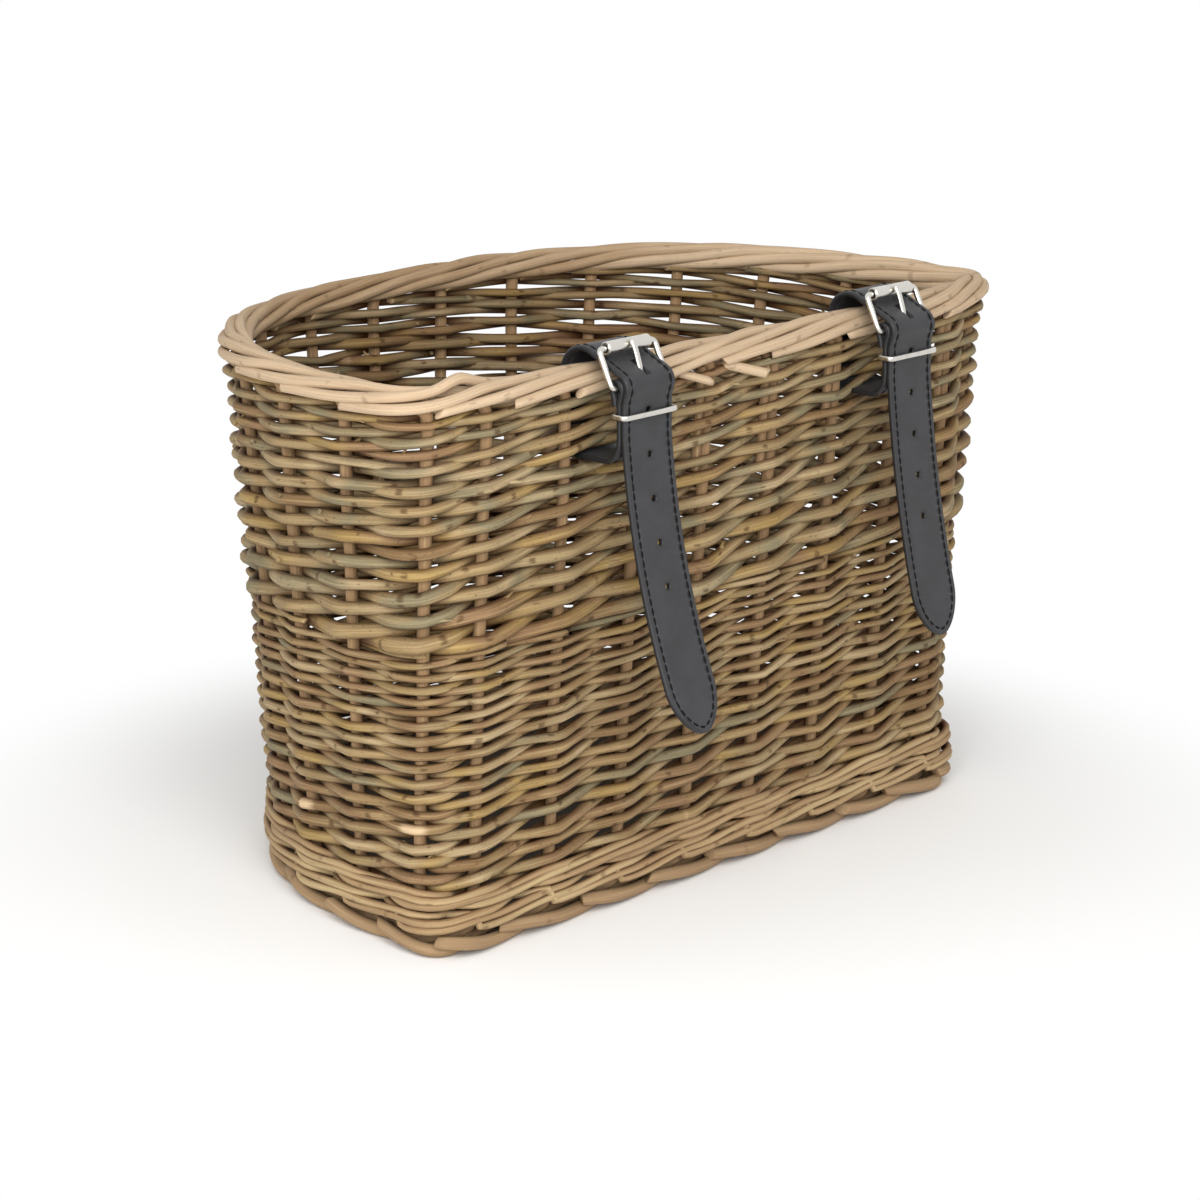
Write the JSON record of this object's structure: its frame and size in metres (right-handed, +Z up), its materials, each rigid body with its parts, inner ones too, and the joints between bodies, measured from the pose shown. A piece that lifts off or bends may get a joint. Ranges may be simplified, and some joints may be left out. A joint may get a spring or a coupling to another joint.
{
  "type": "bicycle basket",
  "caption": "D-shaped woven willow bicycle basket with a flat back, twisted rim and foot borders, a wooden base board and leather straps with roller buckles.",
  "frame": {"origin": "on the floor under the middle of the whole part's box", "axes": "+Z up, +X across the flat back, +Y from the flat back with the straps to the rounded front"},
  "size_m": [0.3996, 0.294, 0.2729],
  "materials": {
    "pale_willow": "pale buff rods, satin",
    "tan_willow": "thin tan rods, satin",
    "olive_willow": "olive-brown bark, dull",
    "brown_willow": "grey-brown bark, dull",
    "plywood": "dark stained board",
    "leather": "smooth black, stitched",
    "nickel": "nickel-plated wire and sheet"
  },
  "bodies": {
    "basket": {"base_board": "plywood", "stake_01": "pale_willow", "stake_02": "pale_willow", "stake_03": "pale_willow", "stake_04": "pale_willow", "stake_05": "pale_willow", "stake_06": "pale_willow", "stake_07": "pale_willow", "stake_08": "pale_willow", "stake_09": "pale_willow", "stake_10": "pale_willow", "stake_11": "pale_willow", "stake_12": "pale_willow", "stake_13": "pale_willow", "stake_14": "pale_willow", "stake_15": "pale_willow", "stake_16": "pale_willow", "stake_17": "pale_willow", "stake_18": "pale_willow", "stake_19": "pale_willow", "stake_20": "pale_willow", "stake_21": "pale_willow", "stake_22": "pale_willow", "stake_23": "pale_willow", "stake_24": "pale_willow", "wale_rod_1": "tan_willow", "wale_rod_2": "tan_willow", "wale_rod_3": "tan_willow", "lower_weaver_1": "olive_willow", "lower_weaver_2": "olive_willow", "lower_weaver_3": "olive_willow", "lower_weaver_4": "olive_willow", "lower_weaver_5": "olive_willow", "lower_weaver_6": "olive_willow", "lower_weaver_7": "olive_willow", "lower_weaver_8": "olive_willow", "upper_weaver_1": "brown_willow", "upper_weaver_2": "brown_willow", "upper_weaver_3": "brown_willow", "upper_weaver_4": "brown_willow", "upper_weaver_5": "brown_willow", "upper_weaver_6": "brown_willow", "upper_weaver_7": "brown_willow", "upper_weaver_8": "brown_willow", "left_strap": "leather", "right_strap": "leather"},
    "left_tail": {"left_strap_tail": "leather"},
    "left_frame": {"left_buckle_frame": "nickel"},
    "left_roller": {"left_buckle_roller": "nickel"},
    "left_prong": {"left_buckle_prong": "nickel"},
    "left_keeper": {"left_strap_keeper": "nickel"},
    "right_tail": {"right_strap_tail": "leather"},
    "right_frame": {"right_buckle_frame": "nickel"},
    "right_roller": {"right_buckle_roller": "nickel"},
    "right_prong": {"right_buckle_prong": "nickel"},
    "right_keeper": {"right_strap_keeper": "nickel"}
  },
  "joints": [
    {"name": "left_tail_swing", "type": "hinge", "parent": "basket", "child": "left_tail", "pos_m": [-0.088, -0.11089, 0.22997], "axis": [-1, 0, 0], "range_deg": [-12, 90], "stiffness_Nm_per_rad": 0.05},
    {"name": "left_buckle_tilt", "type": "hinge", "parent": "basket", "child": "left_frame", "pos_m": [-0.088, -0.10674, 0.25147], "axis": [1, 0, 0], "range_deg": [0, 12]},
    {"name": "left_roller_spin", "type": "hinge", "parent": "left_frame", "child": "left_roller", "pos_m": [-0.088, -0.09857, 0.26751], "axis": [1, 0, 0], "continuous": true},
    {"name": "left_prong_lift", "type": "hinge", "parent": "left_frame", "child": "left_prong", "pos_m": [-0.088, -0.10674, 0.25147], "axis": [1, 0, 0], "range_deg": [0, 15]},
    {"name": "left_keeper_slide", "type": "slide", "parent": "basket", "child": "left_keeper", "axis": [0, 0, 1], "range_m": [-0.006, 0.0025]},
    {"name": "right_tail_swing", "type": "hinge", "parent": "basket", "child": "right_tail", "pos_m": [0.08798, -0.11089, 0.22997], "axis": [-1, 0, 0], "range_deg": [-12, 90], "stiffness_Nm_per_rad": 0.05},
    {"name": "right_buckle_tilt", "type": "hinge", "parent": "basket", "child": "right_frame", "pos_m": [0.08798, -0.10674, 0.25147], "axis": [1, 0, 0], "range_deg": [0, 12]},
    {"name": "right_roller_spin", "type": "hinge", "parent": "right_frame", "child": "right_roller", "pos_m": [0.08798, -0.09857, 0.26751], "axis": [1, 0, 0], "continuous": true},
    {"name": "right_prong_lift", "type": "hinge", "parent": "right_frame", "child": "right_prong", "pos_m": [0.08798, -0.10674, 0.25147], "axis": [1, 0, 0], "range_deg": [0, 15]},
    {"name": "right_keeper_slide", "type": "slide", "parent": "basket", "child": "right_keeper", "axis": [0, 0, 1], "range_m": [-0.006, 0.0025]}
  ]
}
